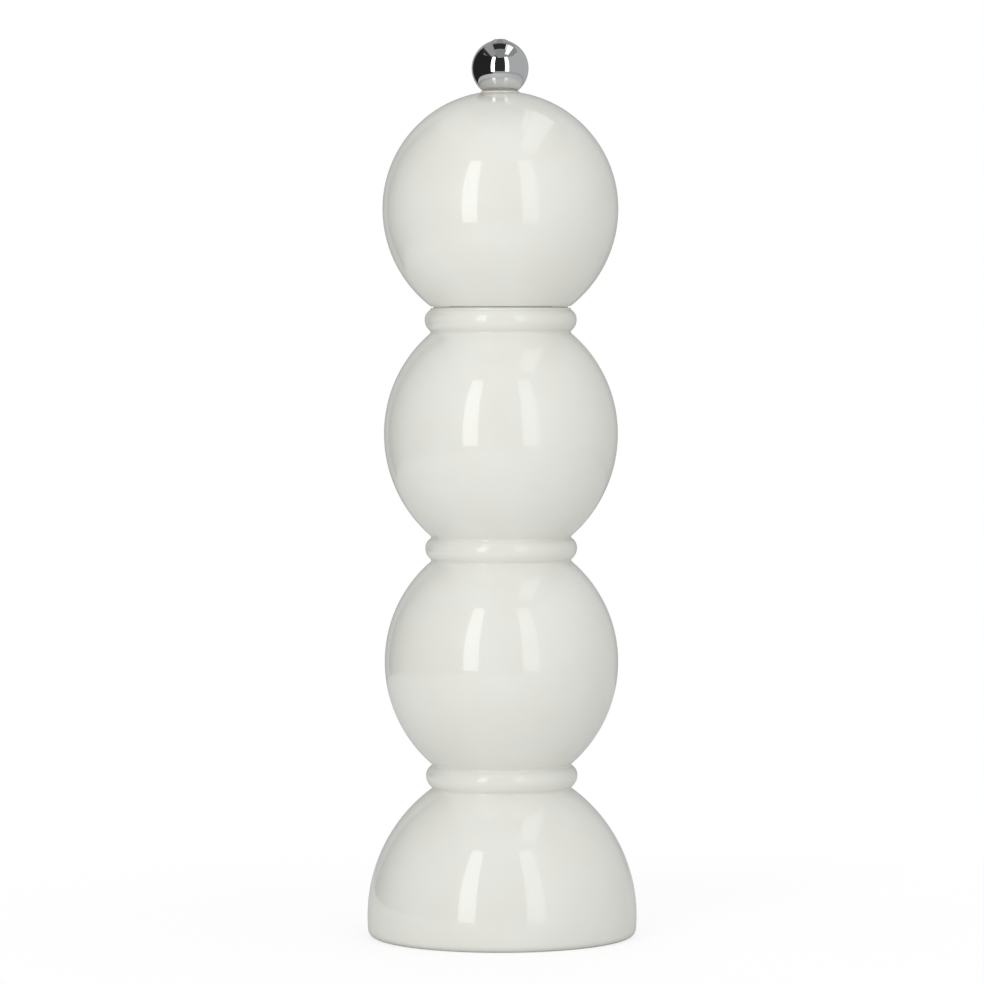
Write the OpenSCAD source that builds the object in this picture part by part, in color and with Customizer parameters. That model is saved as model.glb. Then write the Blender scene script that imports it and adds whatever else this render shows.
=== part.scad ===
// Pepper mill: a lacquered turned body of stacked balls and rings, a ball head that
// turns on it, and a chrome ball knob that sets the grind.
//
// Turning the head turns the driver plate, the square shaft and the ceramic rotor inside
// the ceramic stator. Screwing the knob down pulls the shaft and rotor up against the
// spring, which closes the gap between the burrs. With the knob off, the head lifts off
// and the chamber is filled through the mouth.
//
// Millimetres. The origin is on the table at the centre of the base, and +Z is up.

/* [Outline] */
// Widest diameter of the base
base_d = 72.2; // [68:0.1:80]
// Height of the base's widest line above the table
base_widest_h = 5.4; // [4:0.1:8]
// Height of the base and the groove on it, up to the lowest ring
base_h = 40; // [38:0.5:46]
// Radius of the rounded edge at the foot of the base
base_edge_r = 2; // [1:0.1:3]
// Diameter in the grooves between balls and rings
neck_d = 37.5; // [36.5:0.1:39.5]
// How far a ring stands out past the grooves
ring_proud = 1.55; // [1.2:0.05:2.2]
// Height of a ring and the groove on it
ring_h = 6.2; // [5:0.1:8]
// Diameter of a ball of the body
ball_d = 62.5; // [56:0.1:68]
// Height of a ball and the groove on it
ball_h = 54.8; // [48:0.1:60]
// Height of the flat that a groove leaves between two turned forms
groove_h = 0.5; // [0.3:0.05:0.8]
// Number of balls in the body
ball_count = 2; // [1:1:3]
// Open seam between the body and the head
seam_h = 0.4; // [0.3:0.05:0.8]
// Diameter of the head
head_d = 62.9; // [56:0.1:68]
// Height of the head's centre above its foot
head_centre_h = 26; // [23:0.1:28]
// Height of the head above its centre, up to the bush
head_top_h = 30.9; // [29.5:0.1:33]
// Diameter of the head's foot, at the seam
head_foot_d = 37.3; // [35.5:0.1:39]

/* [Chamber and mouth] */
// Diameter of the pepper chamber
chamber_d = 27; // [25:0.1:27.4]
// Diameter of the tenon under the head
tenon_d = 27.2; // [26.4:0.1:28]
// Length of the tenon under the head
tenon_h = 8.2; // [6:0.1:10]
// Wall of the mouth collar
collar_wall = 1.6; // [1.2:0.1:1.9]
// Depth of the mouth collar in the body
collar_depth = 12; // [8:0.5:16]
// Diameter of the collar's rim, which lies on the body in the seam
collar_rim_d = 36; // [33:0.1:36.4]
// Running clearance between the tenon and the collar, on the radius
collar_gap = 0.3; // [0.15:0.05:0.4]

/* [Knob] */
// Diameter of the knob
knob_d = 15.2; // [15:0.1:18]
// Diameter of the flat under the knob
knob_flat_d = 9.2; // [8.6:0.1:10]
// Diameter of the small land on top of the knob
knob_land_d = 4.2; // [3:0.1:6]
// Height of that land above the ball
knob_land_h = 0.15; // [0.05:0.05:0.5]
// Depth of the blind hole in the knob
knob_bore_depth = 11.4; // [11.2:0.1:11.8]
// Diameter of the threaded insert
insert_d = 7; // [6.6:0.1:7.6]
// Length of the threaded insert
insert_h = 8.4; // [6:0.1:8.8]
// Height of the locking ring above the insert
lock_ring_h = 1.4; // [0.8:0.1:1.6]

/* [Top bush] */
// Diameter of the shaft hole through the head
head_bore_d = 9; // [8.4:0.1:9.4]
// Diameter of the bush flange under the knob
bush_flange_d = 10.4; // [10:0.1:12]
// Thickness of the bush flange
bush_flange_t = 0.9; // [0.6:0.1:1.5]
// How far the flange stands out above the head
bush_proud = 0.35; // [0:0.05:0.6]
// Length of the bush below its flange
bush_h = 6.6; // [5:0.1:9]

/* [Driver plate] */
// Diameter of the driver plate
plate_d = 23; // [21:0.1:25]
// Thickness of the driver plate
plate_t = 1.5; // [1:0.1:2]
// Width of the driver plate across its flat sides
plate_w = 14; // [12:0.1:18]
// Distance between its two screws
plate_screw_spacing = 16.4; // [15.4:0.1:17]
// Diameter of a plate screw
plate_screw_d = 2.8; // [2.4:0.1:3.2]
// Diameter of its head
plate_screw_head_d = 5.4; // [4.8:0.1:5.6]
// Diameter of the flat crown of its head
plate_screw_crown_d = 4; // [3:0.1:5]
// Height of its head
plate_screw_head_h = 1.7; // [1.2:0.1:2]
// Length of a plate screw under its head
plate_screw_l = 10; // [8:0.5:12]

/* [Shaft] */
// Width of the square shaft across its flats
shaft_w = 6; // [5.6:0.1:6.4]
// Diameter over the shaft's turned corners
shaft_corner_d = 7.8; // [7.4:0.1:8]
// Diameter of the threads at both ends
thread_d = 5; // [4.6:0.1:5.4]
// Distance of the square's top end below the bush, more than the knob's travel
shoulder_gap = 1.2; // [1:0.1:3]
// How far the tip of the shaft stands inside the knob
tip_depth = 10.2; // [9.8:0.1:10.3]
// Chamfer on the ends of the threads
thread_chamfer = 0.6; // [0.3:0.1:1]
// Clearance of the shaft in the square hole of the driver plate, on each side
drive_gap = 0.15; // [0.1:0.05:0.25]
// Thickness of the stop clip
clip_t = 0.8; // [0.6:0.1:1.2]
// Depth of the stop clip's groove in the shaft's flats
clip_groove = 0.3; // [0.2:0.05:0.5]
// Outer diameter of the stop clip
clip_d = 10.8; // [10:0.1:12]
// Play between the stop clip and the bridge, more than the knob's travel
clip_play = 1.3; // [1:0.1:2]

/* [Grinder housing] */
// Diameter of the recess under the base that ground pepper falls through
recess_d = 50; // [49.2:0.1:54]
// Depth of that recess
recess_h = 9; // [8:0.1:11]
// Diameter of the housing flange
flange_d = 49; // [48.4:0.1:49]
// Thickness of the housing flange
flange_t = 2; // [1.6:0.1:2.4]
// Outer diameter of the housing tube
housing_d = 36; // [35:0.1:36.4]
// Height of the housing tube above its flange
housing_h = 22.3; // [22:0.1:24]
// Number of housing screws and of bridge arms
screw_count = 3; // [3:1:4]
// Diameter of a housing screw
screw_d = 3; // [2.6:0.1:3.4]
// Diameter of its countersunk head
screw_head_d = 5.8; // [5:0.1:6]
// Height of its countersunk head
screw_head_h = 1.6; // [1.2:0.1:1.6]
// Length of a housing screw, head included
screw_l = 12; // [9:0.5:16]
// Height of the bridge's hub, which carries the shaft
bridge_h = 4; // [3.2:0.1:4.5]
// Diameter of the bridge's hub
bridge_hub_d = 12.4; // [12:0.1:13]
// Width of a bridge arm
bridge_arm_w = 3; // [2:0.1:4]
// Height of a bridge arm
bridge_arm_h = 3; // [2:0.1:3.8]

/* [Burrs] */
// Outer diameter of the stator
stator_d = 30.8; // [30:0.1:31.2]
// Height of the stator
stator_h = 11.6; // [11:0.1:12]
// Diameter of the stator's cutting cone at the bottom
burr_d = 25.2; // [24.6:0.1:25.6]
// Slope of the cutting cones from the axis, in degrees
burr_slope = 18.2; // [16:0.1:20]
// Height of the stator's cutting cone; the inlet funnel is above it
cutting_h = 7.4; // [6.5:0.1:7.8]
// Diameter of the inlet funnel at the top of the stator
inlet_d = 25.8; // [25:0.1:26.2]
// Gap between the cones at the set grind, on the radius
burr_gap = 0.45; // [0.38:0.01:0.6]
// Height of the rotor
rotor_h = 7.6; // [7:0.1:8]
// Distance of the rotor's underside below the stator's
rotor_drop = 0.4; // [0.2:0.1:0.6]
// Number of fine teeth on each burr
tooth_count = 24; // [20:1:28]
// Depth of the fine teeth
tooth_depth = 0.9; // [0.6:0.1:1.1]
// Share of the tooth pitch that a groove's steep flank takes
steep_flank = 0.18; // [0.1:0.01:0.25]
// Share of the tooth pitch that a groove's long flank takes
long_flank = 0.62; // [0.5:0.01:0.65]
// Skew of the teeth against the cone, in degrees
tooth_skew = 18; // [10:1:22]
// Number of coarse teeth in the inlet funnel
coarse_count = 9; // [6:1:12]
// Depth of the coarse teeth
coarse_depth = 1.3; // [0.8:0.1:1.5]
// Number of key ribs that stop the stator from turning
stator_key_count = 3; // [2:1:4]
// Width of a key rib of the stator
stator_key_w = 4; // [3:0.1:5]
// Height of a key rib of the stator, on the radius
stator_key_h = 0.9; // [0.6:0.1:1.1]
// Length of a key rib of the stator, from its underside up
stator_key_l = 7; // [4:0.5:10]
// Thickness of the stator circlip
circlip_t = 1.2; // [1:0.1:1.3]
// Radial width of the stator circlip
circlip_w = 1.9; // [1.6:0.1:2.1]
// Width of the circlip's opening
circlip_opening = 5; // [3:0.5:8]
// Diameter of the circlip's ears
circlip_ear_d = 2.7; // [2.2:0.1:2.8]
// Diameter of the holes in the circlip's ears
circlip_eye_d = 1.1; // [0.8:0.1:1.2]
// Thickness of the housing's lip under the circlip
circlip_lip = 1; // [0.8:0.1:1.4]
// Depth of the circlip groove in the housing, on the radius
circlip_groove = 0.5; // [0.4:0.1:0.7]

/* [Rotor carrier] */
// Diameter of the feed screw's hub and spigot
hub_d = 12; // [11.6:0.1:12.4]
// Height of the feed screw above the rotor
feed_h = 3.6; // [3:0.1:4]
// Diameter over the feed screw's vanes
vane_d = 17.6; // [16:0.1:18]
// Number of vanes
vane_count = 3; // [2:1:4]
// Thickness of a vane
vane_t = 2; // [1.4:0.1:2.6]
// Lean of a vane from the upright, in degrees
vane_lean = 50; // [20:1:60]
// Number of keys between the spigot and the rotor
rotor_key_count = 4; // [2:1:6]
// Width of a rotor key
rotor_key_w = 2.4; // [1.8:0.1:3]
// Height of a rotor key, on the radius
rotor_key_h = 1; // [0.6:0.1:1.1]
// Diameter of the washer under the rotor
rotor_washer_d = 16; // [15.4:0.1:17]
// Thickness of the washer under the rotor
rotor_washer_t = 1; // [0.8:0.1:1.2]
// Width of the rotor nut across its flats
nut_w = 8; // [7.6:0.1:9]
// Height of the rotor nut
nut_h = 2.8; // [2.4:0.1:3]
// Length of thread below the rotor nut
thread_end_l = 0.8; // [0.4:0.1:1]

/* [Spring] */
// Diameter of the spring wire
wire_d = 0.9; // [0.7:0.05:0.95]
// Mean diameter of the spring
spring_d = 10; // [9.8:0.1:10.4]
// Number of open turns
open_turns = 2.5; // [2:0.5:2.5]
// Number of closed turns at each end
closed_turns = 1; // [1:0.25:1]
// Thickness of the spring washer
spring_washer_t = 0.8; // [0.5:0.1:1]
// Outer diameter of the spring washer
spring_washer_d = 12.2; // [11.6:0.1:12.4]

/* [Fits] */
// Clearance of a piece pressed or set into its seat, on the radius
seat_gap = 0.1; // [0.05:0.01:0.15]
// Clearance between faces that slide on each other
face_gap = 0.05; // [0.02:0.01:0.1]
// Clearance of a shaft that turns in a hole, on the radius
turn_gap = 0.1; // [0.05:0.01:0.15]
// Clearance between the threads' outer surfaces, on the radius
thread_gap = 0.06; // [0.03:0.01:0.1]

/* [Hidden] */
$fn = 96;

// Cutters run this far past the faces that they open.
cut = 1;

lacquer = "#E9E9E4";
chrome = "#C9CCCF";
steel = "#A9ACB0";
brass = "#C8A24E";
nylon = "#F2F1EC";
dark_nylon = "#3A3B3D";
ceramic = "#F6F5F0";

// Heights of the body's turned forms, each of which ends in a groove
base_top_z = base_h - groove_h;
function ring_z(i) = base_h + i * (ring_h + ball_h);
function ball_z(i) = ring_z(i) + ring_h;
body_h = ring_z(ball_count) + ring_h;
head_z = body_h + seam_h;
head_centre_z = head_z + head_centre_h;

// Radius of the arc that swells from a groove to a crest over half a bead's height
function arc_r(crest, groove, half_h) =
    (pow(half_h, 2) + pow(crest - groove, 2)) / (2 * (crest - groove));

// Mouth and tenon
collar_bore_r = tenon_d / 2 + collar_gap;
collar_r = collar_bore_r + collar_wall;
collar_rim_h = seam_h - face_gap;
tenon_z = head_z - tenon_h;
plate_z = tenon_z - plate_t;

// Top of the head and the knob on it
bush_seat_r = bush_flange_d / 2 + seat_gap;
head_top_z = head_centre_z + head_top_h;
bush_top_z = head_top_z + bush_proud;
bush_seat_z = bush_top_z - bush_flange_t;
knob_z = bush_top_z + face_gap;
knob_centre_z = knob_z + sqrt(pow(knob_d / 2, 2) - pow(knob_flat_d / 2, 2));
knob_bore_r = insert_d / 2 + face_gap;

// Housing, from the flange up
flange_z = recess_h - flange_t;
housing_top_z = recess_h + housing_h;
bridge_z = housing_top_z - bridge_h;
grinder_bore_top_z = housing_top_z + seat_gap;
stator_seat_r = stator_d / 2 + seat_gap;
circlip_z = flange_z + circlip_lip;
circlip_groove_r = stator_seat_r + circlip_groove;
circlip_r = circlip_groove_r - face_gap;
screw_circle_r = (housing_d + flange_d) / 4;
stator_z = circlip_z + circlip_t;
stator_top_z = stator_z + stator_h;

// Burrs: the cones run parallel, burr_gap apart on the radius
throat_z = stator_z + cutting_h;
throat_r = stator_cone_r(throat_z);
inlet_slope = atan((inlet_d / 2 - throat_r) / (stator_h - cutting_h));
function stator_cone_r(z) = burr_d / 2 - (z - stator_z) * tan(burr_slope);
function rotor_cone_r(z) = stator_cone_r(z) - burr_gap;
rotor_z = stator_z - rotor_drop;
rotor_top_z = rotor_z + rotor_h;
hub_top_z = rotor_top_z + feed_h;

// Shaft, from its tip down
shaft_hole_r = shaft_corner_d / 2 + turn_gap;
tip_z = knob_z + tip_depth;
square_top_z = bush_seat_z - bush_h - shoulder_gap;
nut_z = rotor_z - rotor_washer_t - nut_h;
shaft_end_z = nut_z - thread_end_l;
clip_z = housing_top_z + clip_play;
clip_groove_r = shaft_w / 2 - clip_groove;

// Spring, between the rotor carrier's hub and the washer under the bridge
spring_washer_z = bridge_z - face_gap - spring_washer_t;
spring_l = spring_washer_z - hub_top_z - 2 * face_gap;
closed_pitch = wire_d * 1.04;
open_pitch = (spring_l - wire_d - 2 * closed_turns * closed_pitch) / open_turns;
spring_turns = open_turns + 2 * closed_turns;
spring_sides = 8;
rings_per_turn = 20;

body_foot();
body_base();
body_shell();
mouth_collar();
grinder_housing();
housing_screws();
stator();
stator_circlip();
spring_washer();
spring();
shaft();
stop_clip();
feed_screw();
rotor();
rotor_washer();
rotor_nut();
head_shell();
top_bush();
driver_plate();
plate_screws();
knob();
knob_insert();
lock_ring();

// ---- Half-sections: x is the radius and y the height ----

// A turned bead: an arc with its crest at y = 0, cut off below and above.
module bead_2d(crest, groove, half_h, below, above) {
    R = arc_r(crest, groove, half_h);
    intersection() {
        translate([crest - R, 0]) circle(r = R);
        translate([0, -below]) square([crest, below + above]);
    }
}

// A wall between two radii and two heights.
module wall_2d(inner_r, outer_r, low_z, high_z)
    translate([inner_r, low_z]) square([outer_r - inner_r, high_z - low_z]);

// A bore's section, from the axis out to its radius.
module bore_2d(r, low_z, high_z) wall_2d(0, r, low_z, high_z);

// The base's bead, with its foot edge rounded by an arc that runs smoothly into the side.
module base_2d() {
    half_h = base_top_z - base_widest_h;
    R = arc_r(base_d / 2, neck_d / 2, half_h);
    side_centre = [base_d / 2 - R, base_widest_h];
    drop = base_widest_h - base_edge_r;
    edge_centre = side_centre + [sqrt(pow(R - base_edge_r, 2) - pow(drop, 2)), -drop];
    outward = (edge_centre - side_centre) / (R - base_edge_r);
    difference() {
        translate([0, base_widest_h])
            bead_2d(base_d / 2, neck_d / 2, half_h, base_widest_h, half_h);
        difference() {
            polygon([
                edge_centre, edge_centre + outward * (base_edge_r + cut),
                [base_d / 2 + cut, -cut], [edge_centre.x, -cut]
            ]);
            translate(edge_centre) circle(r = base_edge_r);
        }
    }
}

// The body's outline: the base, then rings and balls in turn, ending in a ring. The
// neck runs up through them and shows in the grooves.
module body_2d() {
    base_2d();
    bore_2d(neck_d / 2, base_top_z - groove_h, body_h);
    for (i = [0 : ball_count])
        translate([0, ring_z(i) + ring_h / 2]) grooved_bead_2d(neck_d / 2 + ring_proud, ring_h / 2);
    for (i = [0 : ball_count - 1])
        translate([0, ball_z(i) + ball_h / 2]) grooved_bead_2d(ball_d / 2, ball_h / 2);
}

// A bead with its crest at y = 0, whose upper half stops short to leave a groove.
module grooved_bead_2d(crest, half_h) {
    top_h = half_h - groove_h;
    bead_2d(crest, neck_d / 2, half_h, half_h, 0);
    bead_2d(crest, neck_d / 2, top_h, 0, top_h);
}

// ---- Body ----

// The body is one turning. Its foot, its base and the length above them are modelled one
// by one, each with a plainer space inside.
module body_length(low_z, high_z) rotate_extrude() intersection() {
    difference() {
        body_2d();
        bore_2d(chamber_d / 2, -cut, body_h + cut);
        bore_2d(collar_r + seat_gap, body_h - collar_depth, body_h + cut);
        bore_2d(housing_d / 2 + seat_gap, -cut, grinder_bore_top_z);
        bore_2d(recess_d / 2, -cut, recess_h);
    }
    wall_2d(0, base_d, low_z, high_z);
}

module body_foot() color(lacquer) body_length(0, recess_h);

module body_base() color(lacquer) difference() {
    body_length(recess_h, base_top_z);
    at_housing_screws() cylinder(d = screw_d + 2 * seat_gap, h = screw_l + seat_gap);
}

module body_shell() color(lacquer) body_length(base_top_z, body_h);

// A sleeve for the tenon to turn in, with a thin rim that the head rides over.
module mouth_collar() color(nylon) rotate_extrude() {
    wall_2d(collar_bore_r, collar_r, body_h - collar_depth, body_h + collar_rim_h);
    wall_2d(collar_bore_r, collar_rim_d / 2, body_h, body_h + collar_rim_h);
}

// Places its children at each housing screw, at the height of the flange's underside.
module at_housing_screws()
    for (i = [0 : screw_count - 1])
        rotate(i * 360 / screw_count) translate([screw_circle_r, 0, flange_z]) children();

// A countersunk screw, or the space that it needs, from its head's face up.
module countersunk(gap = 0) {
    cylinder(d1 = screw_head_d + 2 * gap, d2 = screw_d + 2 * gap, h = screw_head_h);
    cylinder(d = screw_d + 2 * gap, h = screw_l + gap);
}

// The crossed slots in a screw's head.
module cross_recess(w, depth) for (a = [0, 90])
    rotate(a) translate([-w / 2, -w / 8, -cut]) cube([w, w / 4, depth + cut]);

module housing_screws() color(steel) at_housing_screws() difference() {
    countersunk();
    cross_recess(screw_d, screw_head_h / 2);
}

// ---- Grinder housing ----

module grinder_housing() color(dark_nylon) difference() {
    union() {
        difference() {
            housing_tube();
            stator_keys(stator_key_w + 2 * seat_gap, stator_key_h + seat_gap, flange_z - cut);
        }
        bridge();
    }
    translate([0, 0, bridge_z - cut]) cylinder(r = shaft_hole_r, h = bridge_h + 2 * cut);
    at_housing_screws() {
        countersunk(seat_gap);
        translate([0, 0, -cut]) cylinder(d = screw_head_d + 2 * seat_gap, h = cut);
    }
}

// A flanged tube with the stator's seat, the circlip groove and the funnel above them.
module housing_tube() rotate_extrude() difference() {
    union() {
        wall_2d(0, flange_d / 2, flange_z, recess_h);
        wall_2d(0, housing_d / 2, flange_z, housing_top_z);
    }
    bore_2d(stator_seat_r, flange_z - cut, stator_top_z);
    bore_2d(circlip_groove_r, circlip_z - face_gap, stator_z);
    polygon([
        [0, stator_top_z - cut], [inlet_d / 2, stator_top_z - cut], [inlet_d / 2, stator_top_z],
        [chamber_d / 2, housing_top_z], [chamber_d / 2, housing_top_z + cut],
        [0, housing_top_z + cut]
    ]);
}

// The hub that guides the shaft, on one arm halfway between each pair of screws.
module bridge() {
    arm_l = (chamber_d + housing_d) / 4;
    translate([0, 0, bridge_z]) {
        cylinder(d = bridge_hub_d, h = bridge_h);
        for (i = [0 : screw_count - 1]) rotate((i + 0.5) * 360 / screw_count)
            translate([0, -bridge_arm_w / 2, (bridge_h - bridge_arm_h) / 2])
                cube([arm_l, bridge_arm_w, bridge_arm_h]);
    }
}

// The key ribs round the stator's seat, or their slots, from low_z up.
module stator_keys(w, h, low_z) for (i = [0 : stator_key_count - 1])
    rotate(i * 360 / stator_key_count) translate([stator_d / 2 - stator_key_h, -w / 2, low_z])
        cube([stator_key_h + h, w, stator_z + stator_key_l - low_z]);

// An inside circlip: an open ring with an eyed ear at each end.
module stator_circlip() color(steel) translate([0, 0, circlip_z]) linear_extrude(circlip_t)
    difference() {
        ear_at_r = burr_d / 2 + face_gap + circlip_ear_d / 2;
        ear_angle = asin((circlip_opening + circlip_ear_d) / 2 / ear_at_r);
        union() {
            difference() {
                circle(r = circlip_r);
                circle(r = circlip_r - circlip_w);
                translate([0, -circlip_opening / 2]) square([circlip_r + cut, circlip_opening]);
            }
            for (side = [-1, 1]) rotate(side * ear_angle) translate([ear_at_r, 0])
                circle(d = circlip_ear_d);
        }
        for (side = [-1, 1]) rotate(side * ear_angle) translate([ear_at_r, 0])
            circle(d = circlip_eye_d, $fn = 24);
    }

// ---- Burrs ----

// A ring of V-shaped grooves in a cone whose wall passes through radius r at height z and
// leans outward by slope. Each runs along the cone's wall and leans by skew. Its deep edge
// lies depth into the wall: outward in a hollow cone, inward where depth is negative. The
// steep flanks of rotor and stator face each other when the rotor turns clockwise.
module tooth_grooves(count, r, z, slope, skew, depth, l) {
    reach = (abs(depth) + cut) / abs(depth);
    pitch = 2 * PI * r / count;
    side = sign(depth);
    past = -side * cut;
    for (i = [0 : count - 1])
        rotate(i * 360 / count) translate([r, 0, z]) rotate([0, slope, 0]) rotate([skew, 0, 0])
            linear_extrude(l, center = true)
                polygon([
                    [depth, 0],
                    [past, side * long_flank * pitch * reach],
                    [past, -side * steep_flank * pitch * reach]
                ]);
}

module stator() color(ceramic) {
    difference() {
        rotate_extrude() difference() {
            wall_2d(0, stator_d / 2, stator_z, stator_top_z);
            polygon([
                [0, stator_z - cut], [stator_cone_r(stator_z - cut), stator_z - cut],
                [throat_r, throat_z],
                [inlet_d / 2 + cut * tan(inlet_slope), stator_top_z + cut],
                [0, stator_top_z + cut]
            ]);
        }
        mid_z = (stator_z + throat_z) / 2;
        tooth_grooves(tooth_count, stator_cone_r(mid_z), mid_z,
            -burr_slope, -tooth_skew, tooth_depth, 2 * cutting_h);
        inlet_mid_z = (throat_z + stator_top_z) / 2;
        tooth_grooves(coarse_count, (throat_r + inlet_d / 2) / 2, inlet_mid_z,
            inlet_slope, -tooth_skew, coarse_depth, 2 * (stator_h - cutting_h));
    }
    difference() {
        stator_keys(stator_key_w, stator_key_h, stator_z);
        translate([0, 0, stator_z - cut])
            cylinder(r = stator_d / 2 - stator_key_h / 2, h = stator_h + 2 * cut);
    }
}

module rotor() color(ceramic) difference() {
    rotate_extrude() difference() {
        polygon([
            [0, rotor_z], [rotor_cone_r(rotor_z), rotor_z],
            [rotor_cone_r(rotor_top_z), rotor_top_z], [0, rotor_top_z]
        ]);
        bore_2d(hub_d / 2 + seat_gap, rotor_z - cut, rotor_top_z + cut);
    }
    mid_z = (rotor_z + rotor_top_z) / 2;
    tooth_grooves(tooth_count, rotor_cone_r(mid_z), mid_z,
        -burr_slope, tooth_skew, -tooth_depth, 2 * rotor_h);
    rotor_keys(rotor_key_w + 2 * seat_gap, rotor_key_h + seat_gap, cut);
}

// The keys on the spigot that turn the rotor, or their slots, running past its ends.
module rotor_keys(w, h, past = 0) for (i = [0 : rotor_key_count - 1])
    rotate(i * 360 / rotor_key_count) translate([hub_d / 4, -w / 2, rotor_z - past])
        cube([hub_d / 4 + h, w, rotor_h + 2 * past]);

// The hub and keyed spigot that carry the rotor, with leaning vanes that feed it.
module feed_screw() color(dark_nylon) difference() {
    union() {
        translate([0, 0, rotor_z]) cylinder(d = hub_d, h = hub_top_z - rotor_z);
        rotor_keys(rotor_key_w, rotor_key_h);
        intersection() {
            translate([0, 0, rotor_top_z]) cylinder(d = vane_d, h = feed_h);
            for (i = [0 : vane_count - 1]) rotate(i * 360 / vane_count)
                translate([0, 0, rotor_top_z + feed_h / 2]) rotate([vane_lean, 0, 0])
                    translate([hub_d / 4, -vane_t / 2, -vane_d])
                        cube([vane_d / 2, vane_t, 2 * vane_d]);
        }
    }
    square_hole(seat_gap, rotor_z, hub_top_z);
}

module rotor_washer() color(steel) rotate_extrude()
    wall_2d(thread_d / 2 + seat_gap, rotor_washer_d / 2, rotor_z - rotor_washer_t, rotor_z);

module rotor_nut() color(steel) translate([0, 0, nut_z]) difference() {
    cylinder(d = nut_w / cos(30), h = nut_h, $fn = 6);
    translate([0, 0, -cut]) cylinder(r = thread_d / 2 + thread_gap, h = nut_h + 2 * cut);
}

// ---- Shaft ----

// The space for the square shaft, with a gap at each side.
module square_hole(gap, low_z, high_z) {
    w = shaft_w + 2 * gap;
    translate([-w / 2, -w / 2, low_z - cut]) cube([w, w, high_z - low_z + 2 * cut]);
}

// The shaft's turned shape: threads with chamfered ends, and the square's corners.
module shaft_2d() difference() {
    thread_r = thread_d / 2;
    polygon([
        [0, shaft_end_z], [thread_r - thread_chamfer, shaft_end_z],
        [thread_r, shaft_end_z + thread_chamfer], [thread_r, rotor_z],
        [shaft_corner_d / 2, rotor_z], [shaft_corner_d / 2, square_top_z],
        [thread_r, square_top_z], [thread_r, tip_z - thread_chamfer],
        [thread_r - thread_chamfer, tip_z], [0, tip_z]
    ]);
    wall_2d(clip_groove_r, shaft_corner_d, clip_z - face_gap, clip_z + clip_t + face_gap);
}

module shaft() color(steel) intersection() {
    rotate_extrude() shaft_2d();
    square_hole(0, shaft_end_z, tip_z);
}

// A stop clip: a ring with three prongs in the shaft's groove, open at one side.
module stop_clip() color(steel) translate([0, 0, clip_z]) linear_extrude(clip_t) {
    ring_r = shaft_corner_d / 2 + seat_gap;
    prong_w = shaft_w / 3;
    difference() {
        circle(d = clip_d);
        circle(r = ring_r);
        translate([0, -shaft_w / 2]) square([clip_d, shaft_w]);
    }
    for (a = [-90, 90, 180]) rotate(a)
        translate([clip_groove_r + face_gap, -prong_w / 2])
            square([clip_d / 2 - clip_groove_r - 3 * face_gap, prong_w]);
}

// ---- Spring ----

module spring_washer() color(steel) rotate_extrude()
    wall_2d(shaft_hole_r, spring_washer_d / 2, spring_washer_z, spring_washer_z + spring_washer_t);

// Height of the wire's centre after a number of turns: closed coils, open ones, closed ones.
function wire_z(t) = wire_d / 2 + closed_pitch * min(t, closed_turns)
    + open_pitch * min(max(t - closed_turns, 0), open_turns)
    + closed_pitch * max(t - closed_turns - open_turns, 0);

module spring() color(steel) translate([0, 0, hub_top_z + face_gap]) {
    steps = round(spring_turns * rings_per_turn);
    points = [
        for (i = [0 : steps]) let (t = i * spring_turns / steps)
            for (j = [0 : spring_sides - 1])
                let (a = j * 360 / spring_sides, r = (spring_d + wire_d * cos(a)) / 2)
                    [r * cos(360 * t), r * sin(360 * t), wire_z(t) + wire_d / 2 * sin(a)]
    ];
    faces = [
        [for (j = [0 : spring_sides - 1]) j],
        for (i = [0 : steps - 1]) for (j = [0 : spring_sides - 1])
            let (k = i * spring_sides, next = (j + 1) % spring_sides)
                [k + j, k + spring_sides + j, k + spring_sides + next, k + next],
        [for (j = [spring_sides - 1 : -1 : 0]) steps * spring_sides + j]
    ];
    polyhedron(points, faces);
}

// ---- Head ----

// The head's ball with its tenon, bored for the shaft and recessed for the bush.
module head_shell() color(lacquer) difference() {
    rotate_extrude() difference() {
        union() {
            translate([0, head_centre_z]) {
                bead_2d(head_d / 2, head_foot_d / 2, head_centre_h, head_centre_h, 0);
                bead_2d(head_d / 2, bush_seat_r, head_top_h, 0, head_top_h);
            }
            wall_2d(0, tenon_d / 2, tenon_z, head_centre_z);
        }
        bore_2d(head_bore_d / 2, tenon_z - cut, head_top_z);
        bore_2d(bush_seat_r, bush_seat_z, head_top_z + cut);
    }
    at_plate_screws() cylinder(d = plate_screw_d + 2 * seat_gap, h = plate_screw_l + seat_gap);
}

module top_bush() color(nylon) rotate_extrude() {
    bore_r = thread_d / 2 + turn_gap;
    wall_2d(bore_r, head_bore_d / 2 - seat_gap, bush_seat_z - bush_h, bush_top_z);
    wall_2d(bore_r, bush_flange_d / 2, bush_seat_z, bush_top_z);
}

// Places its children at each plate screw, at the height of the plate's underside.
module at_plate_screws() for (side = [-1, 1])
    translate([side * plate_screw_spacing / 2, 0, plate_z]) children();

// A flat-sided disc that the square shaft turns, screwed under the tenon.
module driver_plate() color(steel) difference() {
    translate([0, 0, plate_z]) linear_extrude(plate_t) intersection() {
        circle(d = plate_d);
        square([plate_d, plate_w], center = true);
    }
    square_hole(drive_gap, plate_z, tenon_z);
    at_plate_screws() translate([0, 0, -cut])
        cylinder(d = plate_screw_d + 2 * seat_gap, h = plate_t + 2 * cut);
}

module plate_screws() color(steel) at_plate_screws() {
    cylinder(d = plate_screw_d, h = plate_screw_l);
    translate([0, 0, -plate_screw_head_h]) difference() {
        cylinder(d1 = plate_screw_crown_d, d2 = plate_screw_head_d, h = plate_screw_head_h);
        cross_recess(plate_screw_d, plate_screw_head_h / 2);
    }
}

// ---- Knob ----

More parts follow.
